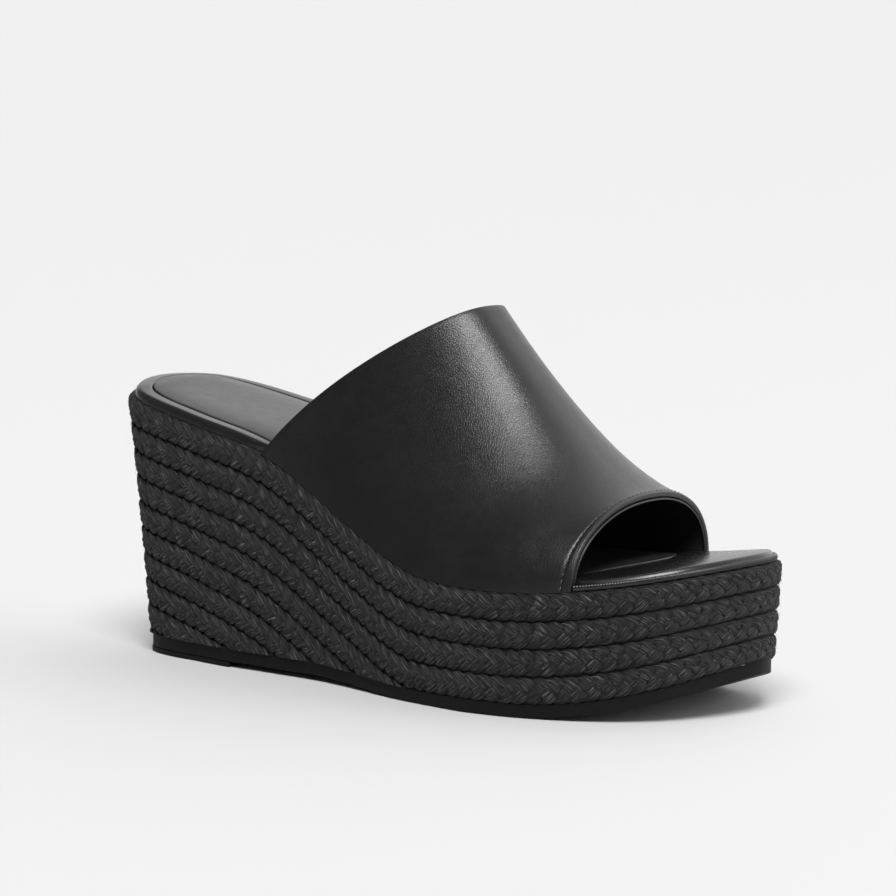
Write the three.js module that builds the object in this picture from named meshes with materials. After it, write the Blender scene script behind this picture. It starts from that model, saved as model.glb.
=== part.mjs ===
// Right-foot wedge mule with a braid-wrapped sole, in millimetres, +Z up.
// +X runs to the toe and +Y to the medial (inner) side. The origin is the
// bottom centre of the whole sandal's box.
//
// Every piece is laid out from one closed rim: the outer edge of the braid at
// the top of the sole. A place on the sole is a spot along that rim, a depth
// below the top line and an offset outwards.

import * as THREE from 'three';

// ---- Driving sizes -------------------------------------------------------
const LENGTH = 250;
const WIDTH = 92;
const HEEL_HEIGHT = 88.6;
const PLATFORM_HEIGHT = 39.8;
const TOE_HEIGHT = 48.4;

// Rim of the sole: share of the length, then the lateral and the medial
// half-widths as shares of the width.
const RIM_STATIONS = [
  [0.045, 0.285, 0.293],
  [0.18, 0.368, 0.378],
  [0.38, 0.402, 0.339],
  [0.56, 0.499, 0.399],
  [0.71, 0.523, 0.474],
  [0.85, 0.421, 0.470],
  [0.95, 0.236, 0.346],
];
const TOE_TIP_SHARE = 0.087;

// Fall of the top line from the heel to the ball, then its rise to the toe.
const TOP_LINE_FALL = [[0, 1], [0.16, 0.85], [0.3, 0.697], [0.44, 0.355], [0.58, 0.064], [0.72, 0], [1, 0]];
const TOP_LINE_RISE = [[0, 0], [0.72, 0], [0.86, 0.337], [1, 1]];

// Lean of the sole's side walls, in mm inwards for each mm of depth.
const HEEL_LEAN = 0.129;
const TOE_LEAN = 0.065;
const SIDE_LEAN = 0.016;

// Rubber
const OUTSOLE_THICKNESS = 4.4;
const OUTSOLE_INSET = 1.3;
const HEEL_LIFT_THICKNESS = 1.6;
const HEEL_LIFT_LENGTH = 60;
const TOE_SPRING = 13;
const TOE_SPRING_START = LENGTH - 65;
const TREAD_CONTACT_START = 150;
const WAIST_RAMP_START = 95;

// Braid and core
const BRAID_THICKNESS = 5;
const BRAID_BULGE = 1.3;
const COURSE_SHOULDER_SHARE = 0.3;
const FULL_COURSES = 4;
const COURSES = 10;
const SMALLEST_COURSE_END = 1.6;

// Courses that fit up the heel, the lowest only part-high, and how much taller
// one course is at the waist than at the heel
const HEEL_COURSES = 9.57;
const WAIST_COURSE_STRETCH = 1.105;
const PITCH_RAMP = [30, 105];

// Insole
const INSOLE_BOARD_THICKNESS = 2;
const WRAP_HEIGHT = 3.2;
const WRAP_SHOULDER_SHARE = 0.6;
const WRAP_SHOULDER_INSET = 0.2;
const WRAP_FOOT_INSET = 3.2;
const WRAP_TOP_INSET = 4.5;
const WRAP_INNER_INSET = 9;
const TOE_BAND_EXTRA = 33.3;
const TOE_BAND_START = LENGTH - 80;
const SOCK_THICKNESS = 0.8;
const BEAD_RADIUS = 0.75;
const BEAD_INSET = 2.1;
const BEAD_HEIGHT = 1.05;

// Upper
const UPPER_INSET = 2;
const LEATHER_THICKNESS = 1;
const INTERLINING_THICKNESS = 0.4;
const LINING_THICKNESS = 0.7;
const THROAT_FOOT = { lateral: LENGTH - 174.3, medial: LENGTH - 171.2 };
const TOE_OPENING_FOOT = { lateral: LENGTH - 44.3, medial: LENGTH - 46.9 };
const THROAT_CROWN = new THREE.Vector3(LENGTH - 108.4, 6.2, PLATFORM_HEIGHT + 84.1);
const CROWN_BEND = new THREE.Vector3(LENGTH - 61, 5.8, PLATFORM_HEIGHT + 30.2);
const TOE_CROWN = new THREE.Vector3(LENGTH - 44, 3.6, PLATFORM_HEIGHT + 28.2);
const ARCH_SPREAD = [0.73, 0.88];
const ARCH_ROUND = [1.28, 0.93];
const ARCH_SWEEP = [-6.8, -0.5];
const BINDING_WIDTH = 1;
const BINDING_ROUND = 0.2;
const STITCH_MARGIN = 2.4;
const THREAD_WIDTH = 0.5;
const THREAD_HEIGHT = 0.3;

// Gap that touching pieces keep, and the glue line between the core and the braid
const GAP = 0.3;
const CORE_CLEARANCE = 0.6;
const WRAP_CLEARANCE = 1.5;

// Distance past the upper's feet, and the run from there, over which the wrap
// widens back to its full width
const WRAP_WIDENING_START = 4;
const WRAP_WIDENING_RUN = 10;

// Height of one course at the heel and at the waist
const HEEL_WALL = HEEL_HEIGHT - HEEL_LIFT_THICKNESS - GAP - OUTSOLE_THICKNESS;
const HEEL_COURSE_PITCH = HEEL_WALL / HEEL_COURSES;
const WAIST_COURSE_PITCH = HEEL_COURSE_PITCH * WAIST_COURSE_STRETCH;

// Depths of the upper's layers under its outer face
const INTERLINING_DEPTH = LEATHER_THICKNESS + GAP;
const LINING_DEPTH = INTERLINING_DEPTH + INTERLINING_THICKNESS + GAP;
const UPPER_THICKNESS = LINING_DEPTH + LINING_THICKNESS;

// ---- Sampling ------------------------------------------------------------
const RIM_STEPS = 64;
const CORE_LEVELS = 5;
const UPPER_ROWS = 12;
const UPPER_COLUMNS = 24;
const BISECTIONS = 40;
const FACE_STEP = 0.02;

// ---- Finishes ------------------------------------------------------------
const finish = (color, roughness) => ({ color, roughness, metalness: 0 });
const RUBBER = finish(0x151515, 0.6);
const CORK = finish(0xa98a63, 0.9);
const JUTE = finish(0x1b1b1a, 0.95);
const BOARD = finish(0x8f7a5c, 0.85);
const FOAM = finish(0x4a4a48, 0.9);
const NAPPA = finish(0x141415, 0.38);
const SOCK_LEATHER = finish(0x232324, 0.45);
const INTERLINING = finish(0xd8d4c8, 0.9);
const LINING = finish(0x101010, 0.7);
const THREAD = finish(0x1c1c1c, 0.6);

// ---- Curves --------------------------------------------------------------

/** Smooth step from 0 at low to 1 at high. */
function ramp(value, low, high) {
  return THREE.MathUtils.smoothstep(value, low, high);
}

/** Cubic through [x, y] knots, its slopes taken from the knots on each side. */
function cubicThrough(knots, x) {
  const last = knots.length - 1;
  const slope = (i) => {
    const before = knots[Math.max(i - 1, 0)];
    const after = knots[Math.min(i + 1, last)];
    return (after[1] - before[1]) / (after[0] - before[0]);
  };
  const clamped = Math.min(Math.max(x, knots[0][0]), knots[last][0]);
  let i = 0;
  while (i < last - 1 && clamped > knots[i + 1][0]) i += 1;
  const width = knots[i + 1][0] - knots[i][0];
  const t = (clamped - knots[i][0]) / width;
  const rise = t * t * (3 - 2 * t);
  const leave = t * (1 - t) * (1 - t) * slope(i) * width;
  const arrive = t * t * (t - 1) * slope(i + 1) * width;
  return knots[i][1] * (1 - rise) + knots[i + 1][1] * rise + leave + arrive;
}

/** The rim seen from above: heel, lateral side, toe, medial side. */
function rimCurve() {
  const lateral = RIM_STATIONS.map(([x, out]) => new THREE.Vector3(x * LENGTH, -out * WIDTH, 0));
  const medial = RIM_STATIONS.map(([x, , out]) => new THREE.Vector3(x * LENGTH, out * WIDTH, 0));
  const heel = new THREE.Vector3(0, 0, 0);
  const toe = new THREE.Vector3(LENGTH, TOE_TIP_SHARE * WIDTH, 0);
  return new THREE.CatmullRomCurve3([heel, ...lateral, toe, ...medial.reverse()], true, 'catmullrom', 0.5);
}

const RIM = rimCurve();

/** Height of the top line of the sole. */
function topLine(x) {
  const share = x / LENGTH;
  const fall = (HEEL_HEIGHT - PLATFORM_HEIGHT) * cubicThrough(TOP_LINE_FALL, share);
  const rise = (TOE_HEIGHT - PLATFORM_HEIGHT) * cubicThrough(TOP_LINE_RISE, share);
  return PLATFORM_HEIGHT + fall + rise;
}

/** Height of the outsole's underside: on the lift at the heel, flat at the ball, sprung at the toe. */
function outsoleUnderside(x) {
  const lift = (HEEL_LIFT_THICKNESS + GAP) * (1 - ramp(x, WAIST_RAMP_START, TREAD_CONTACT_START));
  const spring = Math.max(x - TOE_SPRING_START, 0) / (LENGTH - TOE_SPRING_START);
  return lift + TOE_SPRING * spring * spring;
}

/** Depth from the top line down to the top face of the rubber. */
function wallDepth(x) {
  return topLine(x) - outsoleUnderside(x) - OUTSOLE_THICKNESS;
}

/** Height of one course of braid: FULL_COURSES of them fill the wall at the front. */
function coursePitch(x) {
  const blend = ramp(x, ...PITCH_RAMP);
  const heelPitch = THREE.MathUtils.lerp(HEEL_COURSE_PITCH, WAIST_COURSE_PITCH, blend);
  return Math.min(heelPitch, wallDepth(x) / FULL_COURSES);
}

/** Outward direction of the rim at t. */
function outward(t) {
  const along = RIM.getTangent(((t % 1) + 1) % 1);
  return new THREE.Vector3(along.y, -along.x, 0).normalize();
}

/** How far the wall leans in, per mm of depth, where it faces along the given direction. */
function lean(direction) {
  const end = direction.x > 0 ? TOE_LEAN : HEEL_LEAN;
  return end * Math.abs(direction.x) + SIDE_LEAN * Math.abs(direction.y);
}

/**
 * A place on the sole: t along the rim, inset inwards, and depth below the top
 * line. Depth and inset may be functions of the rim's x and outward direction.
 */
function place(t, depth, inset) {
  const rim = RIM.getPoint(((t % 1) + 1) % 1);
  const direction = outward(t);
  const down = typeof depth === 'function' ? depth(rim.x, direction) : depth;
  const inwards = typeof inset === 'function' ? inset(rim.x, direction) : inset;
  const point = rim.clone().addScaledVector(direction, -inwards - lean(direction) * Math.max(down, 0));
  point.z = topLine(rim.x) - down;
  return point;
}

/** The t on one side at which a line along the rim, at the given inset, reaches x. */
function rimSpot(side, x, inset) {
  let heelEnd = side === 'lateral' ? 0 : 1;
  let toeEnd = 0.5;
  for (let step = 0; step < BISECTIONS; step += 1) {
    const middle = (heelEnd + toeEnd) / 2;
    if (place(middle, 0, inset).x < x) heelEnd = middle;
    else toeEnd = middle;
  }
  return (heelEnd + toeEnd) / 2;
}

// ---- Meshes --------------------------------------------------------------

/** Mesh from a list of points and a list of triangles of point numbers. */
function meshFrom(name, points, triangles, look) {
  const geometry = new THREE.BufferGeometry().setFromPoints(points);
  geometry.setIndex(triangles.flat());
  geometry.computeVertexNormals();
  const mesh = new THREE.Mesh(geometry, new THREE.MeshStandardMaterial(look));
  mesh.name = name;
  return mesh;
}

/** Two triangles for each cell between neighbouring rows of points. */
function gridTriangles(rows, columns, closedRows, closedColumns, start = 0) {
  const triangles = [];
  const rowCount = closedRows ? rows : rows - 1;
  const columnCount = closedColumns ? columns : columns - 1;
  for (let r = 0; r < rowCount; r += 1) {
    for (let c = 0; c < columnCount; c += 1) {
      const a = start + r * columns + c;
      const b = start + r * columns + ((c + 1) % columns);
      const d = start + ((r + 1) % rows) * columns + c;
      const e = start + ((r + 1) % rows) * columns + ((c + 1) % columns);
      triangles.push([a, b, e], [a, e, d]);
    }
  }
  return triangles;
}

/** Bar through the given sections, each drawn clockwise as seen from the bar's far end. */
function bar(name, sections, closed, look) {
  const size = sections[0].length;
  const triangles = gridTriangles(sections.length, size, closed, true).map(([a, b, c]) => [a, c, b]);
  const lastStart = (sections.length - 1) * size;
  for (let i = 1; i < size - 1 && !closed; i += 1) {
    triangles.push([0, i, i + 1], [lastStart, lastStart + i + 1, lastStart + i]);
  }
  return meshFrom(name, sections.flat(), triangles, look);
}

/** Solid between level loops of the rim, from the lowest to the highest. */
function stack(name, loops, look) {
  const size = loops[0].length;
  const triangles = gridTriangles(loops.length, size, false, true);
  const top = (loops.length - 1) * size;
  for (let i = 0; i < size / 2; i += 1) {
    const far = (size - i) % size;
    const farNext = size - i - 1;
    if (farNext !== i + 1) {
      triangles.push([i, farNext, i + 1], [top + i, top + i + 1, top + farNext]);
    }
    if (i > 0) {
      triangles.push([i, far, farNext], [top + i, top + farNext, top + far]);
    }
  }
  return meshFrom(name, loops.flat(), triangles, look);
}

/** One loop of places right round the rim. */
function loop(depth, inset) {
  return Array.from({ length: RIM_STEPS }, (_, i) => place(i / RIM_STEPS, depth, inset));
}

/** The two given ends and the loop's own steps between them; the far end may pass 1, over the heel. */
function spots(from, to) {
  const nearest = 0.25;
  const first = Math.ceil(from * RIM_STEPS + nearest);
  const last = Math.floor(to * RIM_STEPS - nearest);
  const between = Array.from({ length: last - first + 1 }, (_, i) => (first + i) / RIM_STEPS);
  return [from, ...between, to];
}

// ---- Sole ----------------------------------------------------------------

function outsole() {
  const underside = (x) => wallDepth(x) + OUTSOLE_THICKNESS;
  const face = (x) => wallDepth(x) + GAP;
  return stack('outsole', [loop(underside, OUTSOLE_INSET), loop(face, OUTSOLE_INSET)], RUBBER);
}

/** Lift under the heel, its front edge straight across. */
function heelLift() {
  const from = rimSpot('medial', HEEL_LIFT_LENGTH, OUTSOLE_INSET);
  const to = rimSpot('lateral', HEEL_LIFT_LENGTH, OUTSOLE_INSET) + 1;
  const edge = spots(from, to);
  const outline = edge.map((t) => place(t, (x) => wallDepth(x), OUTSOLE_INSET));
  const shape = new THREE.Shape(outline.map((point) => new THREE.Vector2(point.x, point.y)));
  const settings = { depth: HEEL_LIFT_THICKNESS, bevelEnabled: false };
  const geometry = new THREE.ExtrudeGeometry(shape, settings);
  const mesh = new THREE.Mesh(geometry, new THREE.MeshStandardMaterial(RUBBER));
  mesh.name = 'heel_lift';
  return mesh;
}

/** Core inside the braid, from the rubber up to the insole board. */
function wedgeCore() {
  const side = BRAID_THICKNESS + CORE_CLEARANCE;
  const top = INSOLE_BOARD_THICKNESS + 2 * GAP;
  const loops = Array.from({ length: CORE_LEVELS + 1 }, (_, level) => {
    const depth = (x) => THREE.MathUtils.lerp(wallDepth(x) - GAP / 2, top, level / CORE_LEVELS);
    return loop(depth, side);
  });
  return stack('wedge_core', loops, CORK);
}

/** Section of one course at t: flat against the core, rounded outside. */
function courseSection(t, index) {
  const { x } = RIM.getPoint(((t % 1) + 1) % 1);
  const upper = index * coursePitch(x) + GAP / 2;
  const lower = Math.min((index + 1) * coursePitch(x), wallDepth(x)) - GAP / 2;
  const height = lower - upper;
  const bulge = Math.min(BRAID_BULGE, height / 2);
  return [
    place(t, upper, BRAID_THICKNESS),
    place(t, lower, BRAID_THICKNESS),
    place(t, lower, bulge),
    place(t, lower - height * COURSE_SHOULDER_SHARE, 0),
    place(t, upper + height * COURSE_SHOULDER_SHARE, 0),
    place(t, upper, bulge),
  ];
}

/** Where a course runs out on the rubber, on one side. */
function courseEnd(side, index) {
  let full = side === 'lateral' ? 0 : 1;
  let empty = 0.5;
  for (let step = 0; step < BISECTIONS; step += 1) {
    const middle = (full + empty) / 2;
    const { x } = RIM.getPoint(middle);
    if (wallDepth(x) - index * coursePitch(x) > SMALLEST_COURSE_END) full = middle;
    else empty = middle;
  }
  return full;
}

function braidCourse(index) {
  const name = `braid_course_${String(index + 1).padStart(2, '0')}`;
  if (index < FULL_COURSES) {
    const round = Array.from({ length: RIM_STEPS }, (_, i) => courseSection(i / RIM_STEPS, index));
    return bar(name, round, true, JUTE);
  }
  const around = spots(courseEnd('medial', index), courseEnd('lateral', index) + 1);
  return bar(name, around.map((t) => courseSection(t, index)), false, JUTE);
}

// ---- Insole --------------------------------------------------------------

/** Inset that keeps the insole's edge clear of the upper where the upper stands. */
function clearOfUpper(inset) {
  const standing = UPPER_INSET + UPPER_THICKNESS + WRAP_CLEARANCE;
  const back = Math.min(THROAT_FOOT.lateral, THROAT_FOOT.medial);
  const front = Math.max(TOE_OPENING_FOOT.lateral, TOE_OPENING_FOOT.medial);
  return (x) => {
    const past = Math.max(back - x, x - front) - WRAP_WIDENING_START;
    const widened = ramp(past, 0, WRAP_WIDENING_RUN);
    return Math.max(inset, THREE.MathUtils.lerp(standing, inset, widened));
  };
}

/** Place on the inner edge of the wrapped band, which widens at the toe. */
function bandEdge(t, depth, gap) {
  const point = place(t, depth, WRAP_INNER_INSET + gap);
  const behind = point.x - TOE_BAND_EXTRA * ramp(point.x, TOE_BAND_START, LENGTH);
  point.z += topLine(behind) - topLine(point.x);
  point.x = behind;
  return point;
}

/** One loop of the band's inner edge. */
function bandLoop(depth, gap) {
  return Array.from({ length: RIM_STEPS }, (_, i) => bandEdge(i / RIM_STEPS, depth, gap));
}

function insoleBoard() {
  const side = BRAID_THICKNESS + CORE_CLEARANCE;
  return stack('insole_board', [loop(INSOLE_BOARD_THICKNESS + GAP, side), loop(GAP, side)], BOARD);
}

/** Leather-covered edge of the insole, which stands on the first course and the board. */
function insoleWrap() {
  const section = (t) => [
    bandEdge(t, -GAP, 0),
    place(t, -GAP, clearOfUpper(WRAP_FOOT_INSET)),
    place(t, -WRAP_HEIGHT * WRAP_SHOULDER_SHARE, clearOfUpper(WRAP_FOOT_INSET + WRAP_SHOULDER_INSET)),
    place(t, -WRAP_HEIGHT, clearOfUpper(WRAP_TOP_INSET)),
    bandEdge(t, -WRAP_HEIGHT, 0),
  ];
  const around = Array.from({ length: RIM_STEPS }, (_, i) => section(i / RIM_STEPS));
  return bar('insole_wrap', around, true, NAPPA);
}

/** Foam inside the band. */
function footbedFoam() {
  const top = -WRAP_HEIGHT + SOCK_THICKNESS + GAP;
  return stack('footbed_foam', [bandLoop(0, GAP), bandLoop(top, GAP)], FOAM);
}

/** Sock over the foam, level with the band. */
function sockLining() {
  const under = -WRAP_HEIGHT + SOCK_THICKNESS;
  return stack('sock_lining', [bandLoop(under, GAP), bandLoop(-WRAP_HEIGHT, GAP)], SOCK_LEATHER);
}

/** Pleated bead between the insole's edge and the braid, round the toe. */
function toeBead() {
  const clear = 2 * BINDING_WIDTH + GAP;
  const from = rimSpot('lateral', TOE_OPENING_FOOT.lateral + clear, BEAD_INSET);
  const to = rimSpot('medial', TOE_OPENING_FOOT.medial + clear, BEAD_INSET);
  const corners = 6;
  const section = (t) => Array.from({ length: corners }, (_, i) => {
    const angle = (2 * Math.PI * i) / corners;
    const inset = BEAD_INSET + BEAD_RADIUS * Math.cos(angle);
    return place(t, -BEAD_HEIGHT + BEAD_RADIUS * Math.sin(angle), inset);
  });
  return bar('toe_bead', spots(from, to).map(section), false, NAPPA);
}

// ---- Upper ---------------------------------------------------------------

/** Bottom edge of the upper on one side, v from the throat (0) to the toe opening (1). */
function upperFoot(side, v) {
  const x = THREE.MathUtils.lerp(THROAT_FOOT[side], TOE_OPENING_FOOT[side], v);
  return place(rimSpot(side, x, UPPER_INSET), -GAP, UPPER_INSET);
}

/** Highest line of the upper. */
function crown(v) {
  return new THREE.QuadraticBezierCurve3(THROAT_CROWN, CROWN_BEND, TOE_CROWN).getPoint(v);
}

/** Point of the upper's outer face; w runs from the lateral edge (-1) to the medial edge (1). */
function upperFace(v, w) {
  const lateral = upperFoot('lateral', v);
  const medial = upperFoot('medial', v);
  const middle = lateral.clone().lerp(medial, 0.5);
  const half = medial.clone().sub(lateral).multiplyScalar(0.5);
  const spread = THREE.MathUtils.lerp(...ARCH_SPREAD, v);
  const round = THREE.MathUtils.lerp(...ARCH_ROUND, v);
  const across = Math.sign(w) * Math.abs(Math.sin((Math.PI * w) / 2)) ** spread;
  const up = Math.max(Math.cos((Math.PI * w) / 2), 0) ** round;
  const point = middle.clone().addScaledVector(half, across).addScaledVector(crown(v).sub(middle), up);
  point.x += 4 * THREE.MathUtils.lerp(...ARCH_SWEEP, v) * up * (1 - up);
  return point;
}

/** Directions at a point of the outer face: out of it, level at its feet, and forward along it. */
function upperDirections(v, w) {
  const forward = upperFace(Math.min(v + FACE_STEP, 1), w).sub(upperFace(Math.max(v - FACE_STEP, 0), w));
  const across = upperFace(v, Math.min(w + FACE_STEP, 1)).sub(upperFace(v, Math.max(w - FACE_STEP, -1)));
  const out = forward.clone().cross(across);
  if (Math.abs(w) === 1) out.z = 0;
  return { out: out.normalize(), ahead: forward.normalize() };
}

/** Point at a depth under the outer face. */
function underFace(v, w, depth) {
  return upperFace(v, w).addScaledVector(upperDirections(v, w).out, -depth);
}

/** Even steps from -1 to 1 across the upper. */
const COLUMNS = Array.from({ length: UPPER_COLUMNS + 1 }, (_, i) => -1 + (2 * i) / UPPER_COLUMNS);

/** One layer of the upper between two depths under the outer face. */
function upperLayer(name, outerDepth, thickness, look) {
  const columns = COLUMNS.length;
  const rows = UPPER_ROWS + 1;
  const face = (depth) => Array.from({ length: rows }, (_, r) =>
    COLUMNS.map((w) => underFace(r / UPPER_ROWS, w, depth))).flat();
  const points = [...face(outerDepth), ...face(outerDepth + thickness)];
  const inner = rows * columns;
  const outerTriangles = gridTriangles(rows, columns, false, false).map(([a, b, c]) => [a, c, b]);
  const innerTriangles = gridTriangles(rows, columns, false, false, inner);
  const edge = [];
  for (let c = 0; c < columns - 1; c += 1) edge.push([c, c + 1]);
  for (let r = 0; r < rows - 1; r += 1) edge.push([(r + 1) * columns - 1, (r + 2) * columns - 1]);
  for (let c = columns - 1; c > 0; c -= 1) edge.push([inner - columns + c, inner - columns + c - 1]);
  for (let r = rows - 1; r > 0; r -= 1) edge.push([r * columns, (r - 1) * columns]);
  const rim = edge.flatMap(([a, b]) => [[a, b, b + inner], [a, b + inner, a + inner]]);
  return meshFrom(name, points, [...outerTriangles, ...innerTriangles, ...rim], look);
}

/** Strip along an edge of the upper: a section of [forward, depth] pairs swept across it. */
function edgeStrip(name, v, profile, look) {
  const sections = COLUMNS.map((w) => {
    const { out, ahead } = upperDirections(v, w);
    return profile.map(([forward, depth]) =>
      upperFace(v, w).addScaledVector(ahead, forward).addScaledVector(out, -depth));
  });
  return bar(name, sections, false, look);
}

/** Rolled lip that closes the layers at the toe opening. */
function toeEdgeBinding() {
  const near = GAP;
  const far = GAP + BINDING_WIDTH;
  const low = UPPER_THICKNESS * (1 - BINDING_ROUND);
  const high = UPPER_THICKNESS * BINDING_ROUND;
  const profile = [[near, UPPER_THICKNESS], [far, low], [far, high], [near, 0]];
  return edgeStrip('toe_edge_binding', 1, profile, NAPPA);
}

/** Thread that runs over the leather, set back from the toe opening. */
function toeEdgeStitching() {
  const back = -STITCH_MARGIN;
  const front = back + THREAD_WIDTH;
  const low = -GAP;
  const high = low - THREAD_HEIGHT;
  return edgeStrip('toe_edge_stitching', 1, [[back, low], [front, low], [front, high], [back, high]], THREAD);
}

// ---- Assembly ------------------------------------------------------------

const sole = new THREE.Group();
sole.add(outsole(), heelLift(), wedgeCore());
for (let index = 0; index < COURSES; index += 1) sole.add(braidCourse(index));

const insole = new THREE.Group();
insole.add(insoleBoard(), insoleWrap(), footbedFoam(), sockLining(), toeBead());

const upper = new THREE.Group();
upper.add(
  upperLayer('upper_leather', 0, LEATHER_THICKNESS, NAPPA),
  upperLayer('upper_interlining', INTERLINING_DEPTH, INTERLINING_THICKNESS, INTERLINING),
  upperLayer('upper_lining', LINING_DEPTH, LINING_THICKNESS, LINING),
  toeEdgeBinding(),
  toeEdgeStitching(),
);

const sandal = new THREE.Group();
sandal.add(sole, insole, upper);
const box = new THREE.Box3().setFromObject(sandal, true);
const middle = box.getCenter(new THREE.Vector3());
sandal.position.set(-middle.x, -middle.y, -box.min.z);

export default sandal;
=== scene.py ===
"""Looks of a right-foot wedge mule: a braid-wrapped sole and one broad leather band.

Every piece of the sole is laid out from one closed rim, the outer edge of the
braid at the top of the sole, exactly as the solids in the frame are. A place on
the sole is a spot t along that rim, a depth below the top line and an inset.
"""

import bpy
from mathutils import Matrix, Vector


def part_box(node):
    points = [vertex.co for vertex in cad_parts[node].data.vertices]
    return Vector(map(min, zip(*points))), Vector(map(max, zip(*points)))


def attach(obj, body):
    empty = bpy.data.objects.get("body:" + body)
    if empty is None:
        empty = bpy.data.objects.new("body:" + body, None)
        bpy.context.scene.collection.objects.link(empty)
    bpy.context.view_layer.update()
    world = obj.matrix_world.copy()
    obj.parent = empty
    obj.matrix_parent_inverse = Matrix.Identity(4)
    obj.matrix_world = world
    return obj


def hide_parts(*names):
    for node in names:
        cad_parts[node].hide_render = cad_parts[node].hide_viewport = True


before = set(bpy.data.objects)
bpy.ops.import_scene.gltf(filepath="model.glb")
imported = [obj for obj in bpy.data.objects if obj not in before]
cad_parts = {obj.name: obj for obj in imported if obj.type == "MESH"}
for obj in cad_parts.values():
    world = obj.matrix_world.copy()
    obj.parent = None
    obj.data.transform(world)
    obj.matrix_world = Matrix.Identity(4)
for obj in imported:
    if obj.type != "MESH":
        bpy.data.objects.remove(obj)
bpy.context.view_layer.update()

import logging
import math
from contextlib import contextmanager
from dataclasses import dataclass, field
from enum import Enum
from typing import Callable, Iterator

import bpy
import numpy as np
from mathutils import Vector

log = logging.getLogger("mule")

MM = 0.001
BODY = "root"
SEED = 7
SEAM = 0.0005 * MM
SHEET_SEAM = 0.002 * MM


# ---- Working in Blender --------------------------------------------------


def only(piece: bpy.types.Object) -> None:
    """Select one piece alone and make it active.

    Args:
        piece: The object that the next operators act on.
    """
    if bpy.context.object and bpy.context.object.mode != "OBJECT":
        bpy.ops.object.mode_set(mode="OBJECT")
    bpy.ops.object.select_all(action="DESELECT")
    piece.select_set(True)
    bpy.context.view_layer.objects.active = piece


@contextmanager
def editing(piece: bpy.types.Object) -> Iterator[None]:
    """Open one piece in edit mode with all of it selected, and leave edit mode afterwards."""
    only(piece)
    bpy.ops.object.mode_set(mode="EDIT")
    bpy.ops.mesh.select_all(action="SELECT")
    yield
    bpy.ops.object.mode_set(mode="OBJECT")


def join(parts: list[bpy.types.Object]) -> bpy.types.Object:
    """Join parts into one piece, the first of them."""
    bpy.ops.object.select_all(action="DESELECT")
    for part in parts:
        part.select_set(True)
    bpy.context.view_layer.objects.active = parts[0]
    bpy.ops.object.join()
    return bpy.context.object


def points_of(piece: bpy.types.Object) -> np.ndarray:
    """Return the piece's vertices, one row each."""
    flat = np.empty(len(piece.data.vertices) * 3)
    piece.data.vertices.foreach_get("co", flat)
    return flat.reshape(-1, 3)


def set_points(piece: bpy.types.Object, points: np.ndarray) -> None:
    """Move the piece's vertices to the given rows."""
    piece.data.vertices.foreach_set("co", np.ascontiguousarray(points, dtype=np.float32).ravel())
    piece.data.update()


def sheet_grid(name: str, columns: int, rows: int) -> tuple[bpy.types.Object, np.ndarray, np.ndarray]:
    """Add a flat grid to be shaped.

    Args:
        name: The piece's name.
        columns: Faces along the grid's first direction.
        rows: Faces along its second direction.

    Returns:
        The piece, and for each vertex its share of the way along and across.
    """
    bpy.ops.object.select_all(action="DESELECT")
    bpy.ops.mesh.primitive_grid_add(x_subdivisions=columns, y_subdivisions=rows, size=1.0, calc_uvs=True)
    piece = bpy.context.object
    piece.name = name
    piece.data.name = name
    flat = points_of(piece)
    return piece, flat[:, 0] + 0.5, flat[:, 1] + 0.5


def scale_map(piece: bpy.types.Object, along: float, across: float) -> None:
    """Stretch the piece's UV map so that it reads in millimetres.

    Args:
        piece: A piece with one UV map from 0 to 1.
        along: Real length of the map's first direction, in metres.
        across: Real length of its second direction, in metres.
    """
    layer = piece.data.uv_layers.active.data
    flat = np.empty(len(layer) * 2)
    layer.foreach_get("uv", flat)
    flat = flat.reshape(-1, 2) * np.array([along / MM, across / MM])
    layer.foreach_set("uv", flat.ravel())


def close(piece: bpy.types.Object, caps: bool = True) -> None:
    """Merge seams, fill what is left open and turn the faces outwards.

    Args:
        piece: The piece to close.
        caps: Whether open ends are filled.
    """
    with editing(piece):
        bpy.ops.mesh.remove_doubles(threshold=SEAM)
        if caps:
            bpy.ops.mesh.select_all(action="SELECT")
            bpy.ops.mesh.fill_holes(sides=0)
        bpy.ops.mesh.select_all(action="SELECT")
        bpy.ops.mesh.normals_make_consistent(inside=False)


def raise_up(piece: bpy.types.Object, height: float) -> None:
    """Extrude a flat piece upwards into a solid."""
    with editing(piece):
        bpy.ops.mesh.extrude_region_move(TRANSFORM_OT_translate={"value": (0, 0, height)})
        bpy.ops.mesh.select_all(action="SELECT")
        bpy.ops.mesh.normals_make_consistent(inside=False)


def smooth(piece: bpy.types.Object, degrees: float) -> None:
    """Shade a piece smooth across edges flatter than an angle."""
    only(piece)
    bpy.ops.object.shade_smooth_by_angle(angle=math.radians(degrees))


def apply(piece: bpy.types.Object, kind: str, **settings: object) -> None:
    """Add a modifier and apply it.

    Args:
        piece: The piece that it changes.
        kind: Blender's name for the modifier.
        **settings: Values of the modifier.
    """
    only(piece)
    modifier = piece.modifiers.new(kind.lower(), kind)
    for key, value in settings.items():
        setattr(modifier, key, value)
    bpy.ops.object.modifier_apply(modifier=modifier.name)


def ramp(value: np.ndarray, low: float, high: float) -> np.ndarray:
    """Return a smooth step from 0 at low to 1 at high."""
    t = np.clip((np.asarray(value, float) - low) / (high - low), 0.0, 1.0)
    return t * t * (3.0 - 2.0 * t)


def mix(low: np.ndarray, high: np.ndarray, share: np.ndarray) -> np.ndarray:
    """Return the value a share of the way from low to high."""
    return low + (high - low) * share


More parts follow.
